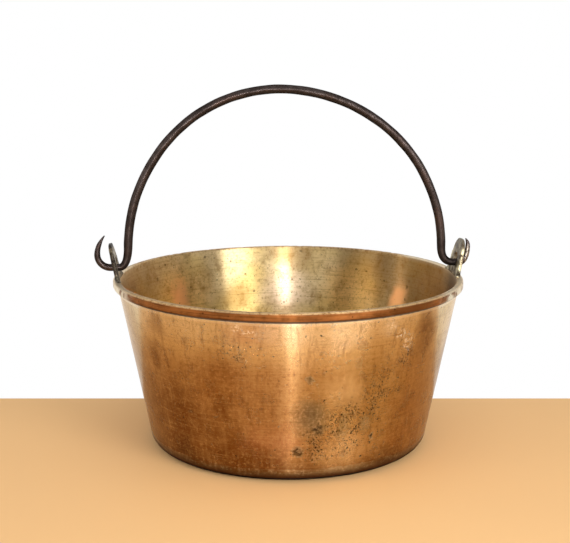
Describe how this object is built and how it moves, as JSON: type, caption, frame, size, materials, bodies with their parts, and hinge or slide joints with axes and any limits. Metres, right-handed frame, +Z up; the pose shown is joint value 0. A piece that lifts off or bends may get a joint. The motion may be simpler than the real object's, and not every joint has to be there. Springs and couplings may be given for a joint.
{
  "type": "preserving pan",
  "caption": "Flat-bottomed bronze pan with a sloping wall and overhanging lip, upstanding pierced ears and a swinging forged iron bail with hooked ends.",
  "frame": {"origin": "centre of the pan's underside, on the surface that it stands on", "axes": "+Z up along the pan's axis, X along the line of the two ears and of the bail's swing, ear_right at +X"},
  "size_m": [0.326, 0.3, 0.3077],
  "materials": {
    "bronze": "worn golden bronze, soft polish with pits, stains and fine scratches",
    "ear_bronze": "dull grey-brown cast bronze with brighter worn edges",
    "forged_iron": "brown-black forged iron, satin, slightly uneven"
  },
  "bodies": {
    "pan": {"pan_body": "bronze", "ear_left": "ear_bronze", "ear_right": "ear_bronze"},
    "bail": {"bail": "forged_iron"}
  },
  "joints": [
    {"name": "bail_swing", "type": "hinge", "parent": "pan", "child": "bail", "pos_m": [0, 0, 0.1535], "axis": [1, 0, 0], "range_deg": [-91.8, 91.8]}
  ]
}
